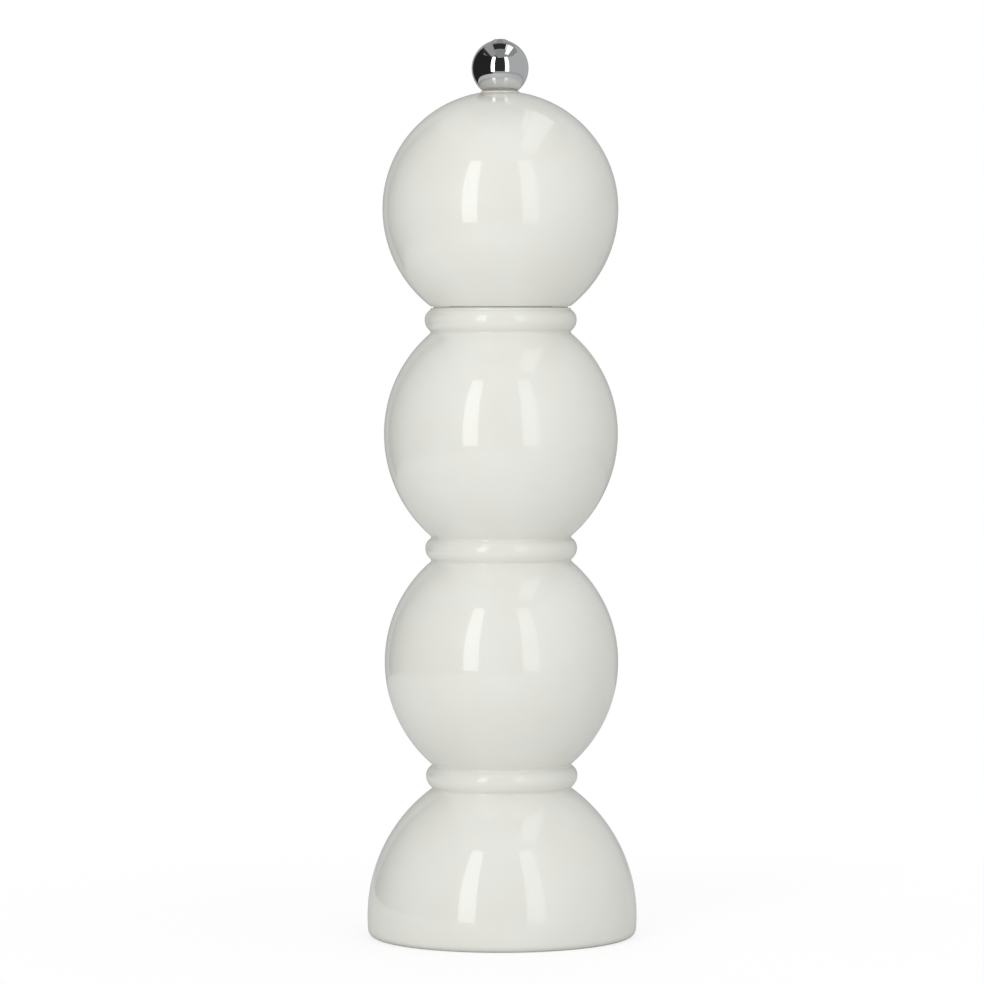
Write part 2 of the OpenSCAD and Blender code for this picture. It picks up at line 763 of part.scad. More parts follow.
// A ball with a flat underneath, a small land on top and a blind hole for the insert.
module knob() color(chrome) rotate_extrude() difference() {
    union() {
        intersection() {
            translate([0, knob_centre_z]) circle(d = knob_d);
            translate([0, knob_z]) square([knob_d, 2 * knob_d]);
        }
        wall_2d(0, knob_land_d / 2, knob_centre_z, knob_centre_z + knob_d / 2 + knob_land_h);
    }
    bore_2d(knob_bore_r, knob_z - cut, knob_z + knob_bore_depth);
}

module knob_insert() color(brass) rotate_extrude()
    wall_2d(thread_d / 2 + thread_gap, insert_d / 2, knob_z, knob_z + insert_h);

module lock_ring() color(nylon) rotate_extrude()
    wall_2d(thread_d / 2 + thread_gap, insert_d / 2,
        knob_z + insert_h, knob_z + insert_h + lock_ring_h);
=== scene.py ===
# %% [markdown]
# # A lacquered pepper mill
#
# This notebook dresses a turned pepper mill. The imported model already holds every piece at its
# real size: the body, the ball head, the chrome knob and the ceramic grinder inside. Here each
# piece gets the surface and the finish that it has on the real object, and the mill is set up
# on a pale table under two tall strip lamps.
#
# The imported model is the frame. Nothing in it is moved. Its nodes say where each piece is.

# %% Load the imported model
import math

import bmesh
import bpy
import numpy as np
from mathutils import Matrix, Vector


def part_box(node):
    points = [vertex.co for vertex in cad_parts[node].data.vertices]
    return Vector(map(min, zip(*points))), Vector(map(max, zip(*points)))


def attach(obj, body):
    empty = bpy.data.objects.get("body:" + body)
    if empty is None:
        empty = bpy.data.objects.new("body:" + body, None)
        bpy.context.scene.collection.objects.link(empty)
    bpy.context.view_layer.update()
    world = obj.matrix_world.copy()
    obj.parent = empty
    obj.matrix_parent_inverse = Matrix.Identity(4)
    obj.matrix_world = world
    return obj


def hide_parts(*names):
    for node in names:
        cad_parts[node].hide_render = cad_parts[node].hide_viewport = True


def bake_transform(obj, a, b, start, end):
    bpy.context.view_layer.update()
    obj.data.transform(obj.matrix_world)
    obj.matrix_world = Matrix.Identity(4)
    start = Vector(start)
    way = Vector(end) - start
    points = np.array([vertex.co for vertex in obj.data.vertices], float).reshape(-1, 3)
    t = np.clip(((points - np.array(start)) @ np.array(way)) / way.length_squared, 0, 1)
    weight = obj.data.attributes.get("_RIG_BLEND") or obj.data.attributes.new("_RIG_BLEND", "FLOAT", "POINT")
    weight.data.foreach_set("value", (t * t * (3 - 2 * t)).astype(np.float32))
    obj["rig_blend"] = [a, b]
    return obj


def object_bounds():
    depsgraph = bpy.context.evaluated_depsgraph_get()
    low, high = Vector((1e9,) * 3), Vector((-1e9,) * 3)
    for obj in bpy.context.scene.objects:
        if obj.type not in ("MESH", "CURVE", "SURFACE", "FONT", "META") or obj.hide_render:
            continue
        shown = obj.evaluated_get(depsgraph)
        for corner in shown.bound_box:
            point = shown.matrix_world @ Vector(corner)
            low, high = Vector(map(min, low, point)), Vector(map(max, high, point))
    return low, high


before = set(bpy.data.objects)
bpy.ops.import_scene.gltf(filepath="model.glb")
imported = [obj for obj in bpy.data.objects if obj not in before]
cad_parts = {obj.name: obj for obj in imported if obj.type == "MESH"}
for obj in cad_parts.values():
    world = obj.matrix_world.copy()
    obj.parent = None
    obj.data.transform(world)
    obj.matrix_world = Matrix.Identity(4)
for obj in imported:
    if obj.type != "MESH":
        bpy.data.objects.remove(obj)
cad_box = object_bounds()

MM = 0.001
print("nodes:", sorted(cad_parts))
print("size in mm:", [round((high - low) / MM, 2) for low, high in zip(*cad_box)])

# %% [markdown]
# ## The camera
#
# A camera has a place, a direction and a lens. A long lens from more than a metre away keeps
# the stacked balls alike in size, as a product view does. It stands a little above the middle
# of the mill and looks slightly down, so that the foot shows its round front edge. The camera
# is turned about its own axis by a fraction of a degree, which is how the mill leans in view.

# %% Place the camera
CAMERA_DISTANCE = 1.230
CAMERA_HEIGHT = 0.169
CAMERA_SIDE = -0.0023
AIM_HEIGHT = 0.1190
FIELD_OF_VIEW = math.radians(12.2)
CAMERA_ROLL = math.radians(0.14)
SENSOR_W = 36


def place_camera():
    data = bpy.data.cameras.new("camera")
    data.sensor_width = SENSOR_W
    data.lens = data.sensor_width / 2 / math.tan(FIELD_OF_VIEW / 2)
    data.clip_start = 0.05
    data.clip_end = 50
    camera = bpy.data.objects.new("camera", data)
    bpy.context.scene.collection.objects.link(camera)
    camera.location = (CAMERA_SIDE, -CAMERA_DISTANCE, CAMERA_HEIGHT)
    pitch = math.atan2(CAMERA_HEIGHT - AIM_HEIGHT, CAMERA_DISTANCE)
    camera.rotation_mode = "XYZ"
    camera.rotation_euler = (math.pi / 2 - pitch, CAMERA_ROLL, 0)
    bpy.context.scene.camera = camera
    return camera


camera = place_camera()
print("lens in mm:", round(camera.data.lens, 1))

# %% [markdown]
# ## Helpers for node trees
#
# Both materials and geometry are made with node trees here. `add` makes one node, sets its
# options and fills its sockets: a socket's value may be a plain number, or another node's
# output, which it then links. `calculate` is the same for one step of arithmetic.


# %% Node helpers
def add(tree, kind, values=None, **options):
    node = tree.nodes.new(kind)
    for option, choice in options.items():
        setattr(node, option, choice)
    for socket, value in (values or {}).items():
        if isinstance(value, bpy.types.NodeSocket):
            tree.links.new(value, node.inputs[socket])
        else:
            node.inputs[socket].default_value = value
    return node


def calculate(tree, operation, *values):
    node = add(tree, "ShaderNodeMath", dict(enumerate(values)), operation=operation)
    return node.outputs[0]


def geometry_tree(name, sizes):
    """A geometry tree with one geometry in and out, and named inputs for its sizes."""
    tree = bpy.data.node_groups.new(name, "GeometryNodeTree")
    tree.interface.new_socket("Geometry", in_out="INPUT", socket_type="NodeSocketGeometry")
    for label, (kind, value) in sizes.items():
        socket = tree.interface.new_socket(label, in_out="INPUT", socket_type=kind)
        if value is not None:
            socket.default_value = value
    tree.interface.new_socket("Geometry", in_out="OUTPUT", socket_type="NodeSocketGeometry")
    return tree


def run_tree(piece, tree, values):
    """Runs a geometry tree on a piece and keeps the result as a plain mesh, faces outward."""
    modifier = piece.modifiers.new("make", "NODES")
    modifier.node_group = tree
    for item in tree.interface.items_tree:
        if item.item_type == "SOCKET" and item.in_out == "INPUT" and item.name in values:
            modifier[item.identifier] = values[item.name]
    bpy.context.view_layer.update()
    evaluated = piece.evaluated_get(bpy.context.evaluated_depsgraph_get())
    mesh = bpy.data.meshes.new_from_object(evaluated)
    piece.modifiers.clear()
    piece.data = mesh
    mesh.name = piece.name
    turn_faces_outward(mesh)
    return piece


MERGE = 0.001 * MM
SHARP_DEGREES = 35


def turn_faces_outward(mesh):
    shape = bmesh.new()
    shape.from_mesh(mesh)
    bmesh.ops.remove_doubles(shape, verts=shape.verts, dist=MERGE)
    bmesh.ops.recalc_face_normals(shape, faces=shape.faces)
    shape.to_mesh(mesh)
    shape.free()
    for face in mesh.polygons:
        face.use_smooth = True
    mesh.set_sharp_from_angle(angle=math.radians(SHARP_DEGREES))


def new_piece(name, points, edges=(), faces=()):
    mesh = bpy.data.meshes.new(name)
    mesh.from_pydata([tuple(p) for p in points], list(edges), list(faces))
    piece = bpy.data.objects.new(name, mesh)
    bpy.context.scene.collection.objects.link(piece)
    return piece


print("helpers ready")

# %% [markdown]
# ## Finishes
#
# Every finish is a Principled shader with something fine added by noise, because no real
# surface is perfectly even. Patterns read Object coordinates. Every piece here sits at the
# origin, so those are real metres, and a pattern has its real size: a noise of scale 400 has
# specks of about 2.5 mm.


# %% Material helpers
def linear(red, green, blue):
    """A colour given as it looks on a screen, 0 to 255, turned into scene values."""
    def decode(value):
        share = value / 255
        return share / 12.92 if share <= 0.04045 else ((share + 0.055) / 1.055) ** 2.4
    return (decode(red), decode(green), decode(blue), 1)


def finish(name, colour, **sockets):
    """A new material with its Principled shader's own sockets set."""
    material = bpy.data.materials.new(name)
    material.use_nodes = True
    tree = material.node_tree
    shader = tree.nodes["Principled BSDF"]
    shader.inputs["Base Color"].default_value = colour
    for socket, value in sockets.items():
        shader.inputs[socket.replace("_", " ")].default_value = value
    return material, tree, shader


def object_space(tree, scale=(1, 1, 1), turn=(0, 0, 0)):
    place = add(tree, "ShaderNodeTexCoord").outputs["Object"]
    mapping = add(tree, "ShaderNodeMapping", {"Vector": place, "Scale": scale, "Rotation": turn})
    return mapping.outputs["Vector"]


def noise(tree, space, scale, detail=2.0, roughness=0.5):
    node = add(tree, "ShaderNodeTexNoise",
               {"Vector": space, "Scale": scale, "Detail": detail, "Roughness": roughness})
    return node.outputs["Fac"]


def between(tree, factor, low, high, start=0.0, end=1.0):
    """Spreads a factor between start and end over the numbers low to high."""
    node = add(tree, "ShaderNodeMapRange", {
        "Value": factor, "From Min": start, "From Max": end, "To Min": low, "To Max": high})
    return node.outputs["Result"]


def blended(tree, factor, first, second):
    node = add(tree, "ShaderNodeMix", data_type="RGBA")
    tree.links.new(factor, node.inputs["Factor"])
    for socket, colour in (("A", first), ("B", second)):
        target = [s for s in node.inputs if s.name == socket and s.type == "RGBA"][0]
        if isinstance(colour, bpy.types.NodeSocket):
            tree.links.new(colour, target)
        else:
            target.default_value = colour
    return [s for s in node.outputs if s.type == "RGBA"][0]


def bump(tree, height, depth, normal=None):
    values = {"Height": height, "Distance": depth, "Strength": 1.0}
    if normal is not None:
        values["Normal"] = normal
    return add(tree, "ShaderNodeBump", values).outputs["Normal"]


print("material helpers ready")

# %% [markdown]
# ## White gloss lacquer
#
# The mill is sprayed with a thick warm white lacquer and polished. Two things tell gloss
# lacquer from plastic. A clear hard layer gives sharp reflections, which is the Coat of the
# shader. And the film is never quite flat: it has a slow waviness, called orange peel, and a
# trace of the lathe under it. Both are a few thousandths of a millimetre high, far too little
# to see as shape, but they bend the edges of a reflection.


# %% White lacquer
def make_white_lacquer():
    material, tree, shader = finish(
        "white_lacquer", linear(236, 236, 229), Roughness=0.32, Coat_Weight=1.0,
        Coat_Roughness=0.026, Coat_IOR=1.5)
    shader.inputs["Specular IOR Level"].default_value = 0.25
    space = object_space(tree)
    cloud = noise(tree, space, 60, detail=3)
    colour = blended(tree, between(tree, cloud, 0, 1, 0.35, 0.65),
                     linear(235, 235, 227), linear(238, 238, 232))
    tree.links.new(colour, shader.inputs["Base Color"])
    peel = noise(tree, space, 260, detail=1)
    rings = noise(tree, object_space(tree, scale=(0.02, 0.02, 1)), 900, detail=2)
    height = calculate(tree, "ADD", peel, calculate(tree, "MULTIPLY", rings, 0.25))
    wavy = bump(tree, height, 0.0035 * MM)
    tree.links.new(wavy, shader.inputs["Coat Normal"])
    tree.links.new(wavy, shader.inputs["Normal"])
    return material


white_lacquer = make_white_lacquer()
print("made", white_lacquer.name)

# %% [markdown]
# ## Bare beech
#
# Inside, the wood has no lacquer. Beech is pale and pinkish, with fine growth rings and short
# dark flecks that run along the grain, which here is the axis of the mill. The rings come from
# the distance to a pith that lies off to one side. The flecks are noise that is stretched
# along Z.


# %% Bare beech
def make_bare_beech():
    material, tree, shader = finish("bare_beech", linear(205, 168, 128), Roughness=0.62)
    pith = object_space(tree, scale=(1, 1, 0.06))
    wander = noise(tree, pith, 30, detail=2)
    across = add(tree, "ShaderNodeSeparateXYZ", {"Vector": pith}).outputs
    far_x = calculate(tree, "ADD", across["X"], 0.09)
    distance = calculate(tree, "SQRT", calculate(
        tree, "ADD", calculate(tree, "POWER", far_x, 2.0),
        calculate(tree, "POWER", across["Y"], 2.0)))
    bent = calculate(tree, "ADD", distance, calculate(tree, "MULTIPLY", wander, 0.004))
    ring = calculate(tree, "FRACT", calculate(tree, "MULTIPLY", bent, 480.0))
    flecks = noise(tree, object_space(tree, scale=(1, 1, 0.12)), 1500, detail=2)
    dark = between(tree, flecks, 0, 1, 0.58, 0.72)
    wood = blended(tree, ring, linear(216, 182, 143), linear(196, 157, 116))
    wood = blended(tree, dark, wood, linear(150, 108, 74))
    tree.links.new(wood, shader.inputs["Base Color"])
    tree.links.new(between(tree, dark, 0.55, 0.75), shader.inputs["Roughness"])
    grain = calculate(tree, "ADD", calculate(tree, "MULTIPLY", ring, 0.4), flecks)
    tree.links.new(bump(tree, grain, 0.03 * MM), shader.inputs["Normal"])
    return material


bare_beech = make_bare_beech()
print("made", bare_beech.name)

# %% [markdown]
# ## Metals
#
# Chrome plating is a mirror with hardly any haze. Steel sheet and bar keep the lines of the
# rolls that they passed through, so their noise is stretched one way. A turned piece has its
# lines round the axis instead: there the noise reads the radius and the height, and nothing
# round the circle.


# %% Metals
def make_chrome():
    material, tree, shader = finish(
        "polished_chrome", (0.77, 0.78, 0.79, 1), Metallic=1.0, Roughness=0.03)
    space = object_space(tree)
    haze = noise(tree, space, 350, detail=4, roughness=0.7)
    tree.links.new(between(tree, haze, 0.02, 0.055, 0.4, 0.75), shader.inputs["Roughness"])
    tree.links.new(bump(tree, noise(tree, space, 220, detail=1), 0.0012 * MM),
                   shader.inputs["Normal"])
    return material


def make_drawn_metal(name, colour, darker, along=(1, 0.02, 1), shine=(0.22, 0.42)):
    """Rolled or drawn metal, with fine lines along the axis whose scale is small."""
    material, tree, shader = finish(name, colour, Metallic=1.0, Roughness=0.3)
    lines = noise(tree, object_space(tree, scale=along), 5000, detail=3, roughness=0.6)
    tree.links.new(blended(tree, lines, darker, colour), shader.inputs["Base Color"])
    tree.links.new(between(tree, lines, *shine, 0.3, 0.7), shader.inputs["Roughness"])
    tree.links.new(bump(tree, lines, 0.004 * MM), shader.inputs["Normal"])
    return material


def make_turned_metal(name, colour, darker, shine=(0.16, 0.34)):
    """Turned metal: the lines of the tool run round the axis."""
    material, tree, shader = finish(name, colour, Metallic=1.0, Roughness=0.25)
    place = add(tree, "ShaderNodeSeparateXYZ", {"Vector": object_space(tree)}).outputs
    radius = calculate(tree, "SQRT", calculate(
        tree, "ADD", calculate(tree, "POWER", place["X"], 2.0),
        calculate(tree, "POWER", place["Y"], 2.0)))
    turned_space = add(tree, "ShaderNodeCombineXYZ", {"X": radius, "Z": place["Z"]})
    lines = noise(tree, turned_space.outputs[0], 7000, detail=3, roughness=0.6)
    tree.links.new(blended(tree, lines, darker, colour), shader.inputs["Base Color"])
    tree.links.new(between(tree, lines, *shine, 0.3, 0.7), shader.inputs["Roughness"])
    tree.links.new(bump(tree, lines, 0.004 * MM), shader.inputs["Normal"])
    return material


polished_chrome = make_chrome()
steel_sheet = make_drawn_metal("steel_sheet", (0.60, 0.60, 0.61, 1), (0.44, 0.44, 0.45, 1))
steel_bar = make_drawn_metal("steel_bar", (0.58, 0.58, 0.59, 1), (0.42, 0.42, 0.43, 1),
                             along=(1, 1, 0.01))
turned_steel = make_turned_metal("turned_steel", (0.60, 0.60, 0.61, 1), (0.46, 0.46, 0.47, 1))
spring_steel = make_turned_metal("spring_steel", (0.42, 0.42, 0.44, 1), (0.26, 0.26, 0.28, 1))
turned_brass = make_turned_metal("turned_brass", (0.72, 0.50, 0.20, 1), (0.56, 0.37, 0.13, 1))
print("made the metals")

# %% [markdown]
# ## Nylon and ceramic
#
# Moulded nylon takes the texture of the mould, a very fine even grain. The white nylon lets a
# little light in, which softens its shading, and that is the Subsurface setting. Burr ceramic
# is matt and slightly creamy, with a grain that is finer still.


# %% Nylon and ceramic
def make_moulded(name, colour, other, roughness, grain, depth, **sockets):
    material, tree, shader = finish(name, colour, Roughness=roughness, **sockets)
    space = object_space(tree)
    specks = noise(tree, space, grain, detail=3, roughness=0.6)
    tree.links.new(blended(tree, specks, colour, other), shader.inputs["Base Color"])
    tree.links.new(between(tree, specks, roughness - 0.06, roughness + 0.08, 0.3, 0.7),
                   shader.inputs["Roughness"])
    tree.links.new(bump(tree, specks, depth * MM), shader.inputs["Normal"])
    return material


white_nylon = make_moulded(
    "white_nylon", linear(236, 233, 224), linear(228, 224, 213), 0.38, 2500, 0.008,
    Subsurface_Weight=0.15, Subsurface_Scale=0.6 * MM)
black_nylon = make_moulded(
    "black_nylon", linear(44, 44, 46), linear(58, 58, 60), 0.46, 3000, 0.012)
ceramic = make_moulded(
    "burr_ceramic", linear(238, 234, 224), linear(228, 222, 209), 0.55, 4000, 0.006,
    Subsurface_Weight=0.08, Subsurface_Scale=0.4 * MM)
print("made the nylons and the ceramic")

# %% [markdown]
# ## The lathe
#
# The body, the head, the knob and the shaft are all turned, so one geometry tree makes them
# all. Its input is a profile: a line of points, each with a radius and a height. The tree lays
# a grid with one row for each point and one column for each step round the circle, and moves
# each grid point to its radius, angle and height.
#
# Three numbers on the profile's points let the same tree do more than round work. `bare` says
# where the wood has no lacquer. `thread` is the depth of a screw thread, cut as a wave that
# climbs by one pitch in each turn. `flats` says where the flats of a square or a hexagon are
# milled: there the radius is held to the flat's distance.

# %% Build the lathe
TURNING_INPUTS = {
    "Steps": ("NodeSocketInt", 192),
    "Pitch": ("NodeSocketFloat", 0.8 * MM),
    "Flat count": ("NodeSocketFloat", 4.0),
    "Across flats": ("NodeSocketFloat", 6.0 * MM),
    "Outside": ("NodeSocketMaterial", None),
    "Bare": ("NodeSocketMaterial", None),
}


def named(tree, label):
    node = add(tree, "GeometryNodeInputNamedAttribute", {"Name": label}, data_type="FLOAT")
    return node.outputs["Attribute"]


def build_lathe():
    tree = geometry_tree("turn_on_the_lathe", TURNING_INPUTS)
    given = add(tree, "NodeGroupInput").outputs
    profile = given["Geometry"]
    rows = add(tree, "GeometryNodeAttributeDomainSize", {"Geometry": profile})
    row_count = rows.outputs["Point Count"]
    columns = calculate(tree, "ADD", given["Steps"], 1.0)
    grid = add(tree, "GeometryNodeMeshGrid", {"Vertices X": columns, "Vertices Y": row_count})
    index = add(tree, "GeometryNodeInputIndex").outputs[0]
    column = calculate(tree, "FLOOR", calculate(tree, "DIVIDE", index, row_count))
    row = calculate(tree, "SUBTRACT", index, calculate(tree, "MULTIPLY", column, row_count))
    turn = calculate(tree, "DIVIDE", column, given["Steps"])
    angle = calculate(tree, "MULTIPLY", turn, 2 * math.pi)

    def on_profile(value, data_type="FLOAT"):
        node = add(tree, "GeometryNodeSampleIndex",
                   {"Geometry": profile, "Value": value, "Index": row}, data_type=data_type)
        return node.outputs[0]

    place = on_profile(add(tree, "GeometryNodeInputPosition").outputs[0], "FLOAT_VECTOR")
    place = add(tree, "ShaderNodeSeparateXYZ", {"Vector": place}).outputs
    climb = calculate(tree, "SUBTRACT",
                      calculate(tree, "DIVIDE", place["Z"], given["Pitch"]), turn)
    wave = calculate(tree, "ABSOLUTE", calculate(
        tree, "SUBTRACT", calculate(tree, "MULTIPLY", calculate(tree, "FRACT", climb), 2.0), 1.0))
    cut = calculate(tree, "MULTIPLY", on_profile(named(tree, "thread")), wave)
    radius = calculate(tree, "SUBTRACT", place["X"], cut)

    side = calculate(tree, "DIVIDE", 2 * math.pi, given["Flat count"])
    half_side = calculate(tree, "DIVIDE", side, 2.0)
    off_flat = calculate(tree, "SUBTRACT", calculate(
        tree, "FLOORED_MODULO", calculate(tree, "ADD", angle, half_side), side), half_side)
    flat = calculate(tree, "DIVIDE", calculate(tree, "DIVIDE", given["Across flats"], 2.0),
                     calculate(tree, "COSINE", off_flat))
    unmilled = calculate(tree, "SUBTRACT", 1.0, on_profile(named(tree, "flats")))
    radius = calculate(tree, "MINIMUM", radius, calculate(tree, "ADD", flat, unmilled))

    point = add(tree, "ShaderNodeCombineXYZ", {
        "X": calculate(tree, "MULTIPLY", radius, calculate(tree, "COSINE", angle)),
        "Y": calculate(tree, "MULTIPLY", radius, calculate(tree, "SINE", angle)),
        "Z": place["Z"]}).outputs[0]
    kept = add(tree, "GeometryNodeStoreNamedAttribute", {
        "Geometry": grid.outputs["Mesh"], "Name": "bare_wood",
        "Value": on_profile(named(tree, "bare"))}, data_type="FLOAT", domain="POINT")
    shaped = add(tree, "GeometryNodeSetPosition",
                 {"Geometry": kept.outputs["Geometry"], "Position": point})
    merged = add(tree, "GeometryNodeMergeByDistance",
                 {"Geometry": shaped.outputs["Geometry"], "Distance": MERGE})
    realized = add(tree, "GeometryNodeRealizeInstances",
                   {"Geometry": merged.outputs["Geometry"]})
    outside = add(tree, "GeometryNodeSetMaterial",
                  {"Geometry": realized.outputs["Geometry"], "Material": given["Outside"]})
    is_bare = add(tree, "FunctionNodeCompare",
                  {"A": named(tree, "bare_wood"), "B": 0.5}, operation="GREATER_THAN")
    inside = add(tree, "GeometryNodeSetMaterial", {
        "Geometry": outside.outputs["Geometry"], "Selection": is_bare.outputs[0],
        "Material": given["Bare"]})
    add(tree, "NodeGroupOutput", {"Geometry": inside.outputs["Geometry"]})
    return tree


lathe = build_lathe()
print("lathe inputs:", [item.name for item in lathe.interface.items_tree])

# %% [markdown]
# ## Profiles
#
# A profile is drawn as a few corners and arcs and then sanded: the line is walked in small
# even steps, and each point is averaged with its neighbours. Corners come out rounded and
# large curves stay as they are, which is what sandpaper and a coat of lacquer do to wood.
# Last, the points that hardly change the line's direction are dropped, so that the mesh is
# fine only where the shape bends.

# %% Profile helpers
WALK = 0.06 * MM
BEND_DEGREES = 2.5
LONGEST_STEP = 6 * MM
THREAD_STEP = 0.1 * MM


class Profile:
    """A line of points (radius, height), each marked as bare, threaded or milled."""

    def __init__(self, closed):
        self.closed = closed
        self.points = []
        self.marks = []

    def to(self, radius, height, bare=0.0, thread=0.0, flats=0.0):
        """Goes straight to a point. The marks are those of the way there."""
        self.points.append((radius, height))
        self.marks.append((bare, thread, flats))
        return self

    def arc(self, centre, radius, start, end, steps=96):
        """Goes round an arc, its angles in radians from straight outward."""
        for i in range(steps + 1):
            angle = start + (end - start) * i / steps
            self.to(centre[0] + radius * math.cos(angle), centre[1] + radius * math.sin(angle))
        return self

    def walked(self):
        """The same line in small even steps, and the marks of each step."""
        corners = np.array(self.points + self.points[:1] * self.closed)
        marks = np.array(self.marks + self.marks[:1] * self.closed)
        lengths = np.linalg.norm(np.diff(corners, axis=0), axis=1)
        travel = np.concatenate([[0], np.cumsum(lengths)])
        count = max(int(travel[-1] / WALK), 8)
        places = np.linspace(0, travel[-1], count + 1)[:count + (not self.closed)]
        walk = np.stack([np.interp(places, travel, corners[:, k]) for k in (0, 1)], axis=1)
        leg = np.clip(np.searchsorted(travel, places, side="left"), 1, len(corners) - 1)
        return walk, marks[leg]

    def sanded(self, rounding):
        """Averages each point with its neighbours within about the given rounding."""
        walk, marks = self.walked()
        reach = int(3 * rounding / WALK)
        if reach:
            weights = np.exp(-0.5 * (np.arange(-reach, reach + 1) * WALK / rounding) ** 2)
            weights /= weights.sum()
            if self.closed:
                padded = np.concatenate([walk[-reach:], walk, walk[:reach]])
            else:
                across = np.array([-1, 1])
                padded = np.concatenate([(walk * across)[reach:0:-1], walk,
                                         (walk * across)[-2:-reach - 2:-1]])
            walk = np.stack([np.convolve(padded[:, k], weights, "valid") for k in (0, 1)], 1)
        return self.thinned(walk, marks)

    def thinned(self, walk, marks):
        """Drops points where the line runs nearly straight, and none along a thread."""
        steps = np.diff(walk, axis=0)
        heading = np.unwrap(np.arctan2(steps[:, 1], steps[:, 0]))
        keep = [0]
        for i in range(1, len(walk) - 1):
            bend = abs(heading[i] - heading[keep[-1]])
            gone = np.linalg.norm(walk[i] - walk[keep[-1]])
            threaded = marks[i, 1] > 0 and gone > THREAD_STEP
            corner = np.any(marks[i] != marks[i - 1]) or np.any(marks[i + 1] != marks[i])
            if bend > math.radians(BEND_DEGREES) or gone > LONGEST_STEP or threaded or corner:
                keep.append(i)
        keep.append(len(walk) - 1)
        if self.closed:
            keep.append(0)
        return walk[keep], marks[keep]


def turned(name, profile, outside, bare=None, rounding=0.2 * MM, steps=192, pitch=0.8 * MM,
           flat_count=4, across_flats=6 * MM):
    """Turns a profile on the lathe and returns the closed piece."""
    walk, marks = profile.sanded(rounding)
    piece = new_piece(name, [(radius, 0, height) for radius, height in walk],
                      edges=[(i, i + 1) for i in range(len(walk) - 1)])
    for k, label in enumerate(("bare", "thread", "flats")):
        attribute = piece.data.attributes.new(label, "FLOAT", "POINT")
        attribute.data.foreach_set("value", marks[:, k].astype(np.float32))
    run_tree(piece, lathe, {
        "Steps": steps, "Pitch": pitch, "Flat count": float(flat_count),
        "Across flats": across_flats, "Outside": outside, "Bare": bare or outside})
    for attribute in [a for a in piece.data.attributes if a.name == "bare_wood"]:
        piece.data.attributes.remove(attribute)
    print(name, "has", len(piece.data.vertices), "points from a profile of", len(walk))
    return piece


print("profile helpers ready")

# %% [markdown]
# ## The body
#
# The body is one piece of wood: a flared base, then rings and balls in turn. Each of them
# swells from a groove to its crest along one arc, and falls to the next groove along another.
# An arc that moves out by `out` over a height of `rise` has the radius
# (rise² + out²) / (2 out). A groove is a short straight neck. The foot's edge is a small arc
# that meets the side and the floor smoothly.
#
# The profile is a closed loop. It goes up the outside, over the rim, and down the bores: the
# seat of the collar, the pepper chamber, the seat of the grinder, and the recess in the foot.
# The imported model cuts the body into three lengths, one above the other. Here it is whole.

# %% Sizes of the body
NECK_R = 18.75 * MM
BASE_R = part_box("body_foot")[1].x
BODY_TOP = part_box("body_shell")[1].z
BASE_WIDEST = 5.4 * MM
BASE_H = 40 * MM
GROOVE_H = 0.5 * MM
FOOT_EDGE_R = 2 * MM
RING_R = 20.3 * MM
RING_H = 6.2 * MM
BALL_R = 31.25 * MM
BALL_H = 54.8 * MM
BALL_COUNT = 2
SEAT_GAP = 0.1 * MM
RUNNING_GAP = 0.05 * MM
CHAMBER_R = 13.5 * MM
RECESS_R = 25 * MM
RECESS_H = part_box("body_foot")[1].z
COLLAR_R = 15.5 * MM
COLLAR_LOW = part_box("mouth_collar")[0].z
GRINDER_R = 18 * MM + SEAT_GAP
GRINDER_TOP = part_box("grinder_housing")[1].z + SEAT_GAP
WOOD_ROUNDING = 0.16 * MM


def swell_radius(crest, groove, rise):
    """The radius of an arc that moves out from a groove to a crest over a height."""
    out = crest - groove
    return (rise ** 2 + out ** 2) / (2 * out)


def swell(profile, crest, groove, middle, rise):
    """Adds the arc between a crest and a groove, which lies above it or, below 0, under it."""
    radius = swell_radius(crest, groove, rise)
    angle = math.asin(rise / radius)
    return profile.arc((crest - radius, middle), radius, min(angle, 0), max(angle, 0))


def bead(profile, crest, low, height):
    """Adds a ring or a ball that stands at a height, and leaves a groove on top of it."""
    middle = low + height / 2
    swell(profile, crest, NECK_R, middle, -height / 2)
    swell(profile, crest, NECK_R, middle, height / 2 - GROOVE_H)
    return low + height


print("body height in mm:", round(BODY_TOP / MM, 2))


# %% Turn the body
def make_body():
    rise = BASE_H - GROOVE_H - BASE_WIDEST
    side_r = swell_radius(BASE_R, NECK_R, rise)
    drop = BASE_WIDEST - FOOT_EDGE_R
    run = math.sqrt((side_r - FOOT_EDGE_R) ** 2 - drop ** 2)
    edge = (BASE_R - side_r + run, FOOT_EDGE_R)
    lean = -math.atan2(drop, run)
    outline = Profile(closed=True)
    outline.to(RECESS_R, 0, bare=1)
    outline.arc(edge, FOOT_EDGE_R, -math.pi / 2, lean, steps=24)
    outline.arc((BASE_R - side_r, BASE_WIDEST), side_r, lean, math.asin(rise / side_r))
    height = bead(outline, RING_R, BASE_H, RING_H)
    for _ in range(BALL_COUNT):
        height = bead(outline, BALL_R, height, BALL_H)
        height = bead(outline, RING_R, height, RING_H)
    outline.to(NECK_R, BODY_TOP)
    outline.to(COLLAR_R + SEAT_GAP, BODY_TOP)
    outline.to(COLLAR_R + SEAT_GAP, COLLAR_LOW, bare=1)
    outline.to(CHAMBER_R, COLLAR_LOW, bare=1)
    outline.to(CHAMBER_R, GRINDER_TOP, bare=1)
    outline.to(GRINDER_R, GRINDER_TOP, bare=1)
    outline.to(GRINDER_R, RECESS_H, bare=1)
    outline.to(RECESS_R, RECESS_H, bare=1)
    return turned("lacquered_body", outline, white_lacquer, bare_beech, rounding=WOOD_ROUNDING)


body = make_body()
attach(body, "mill_body")
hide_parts("body_foot", "body_base", "body_shell")

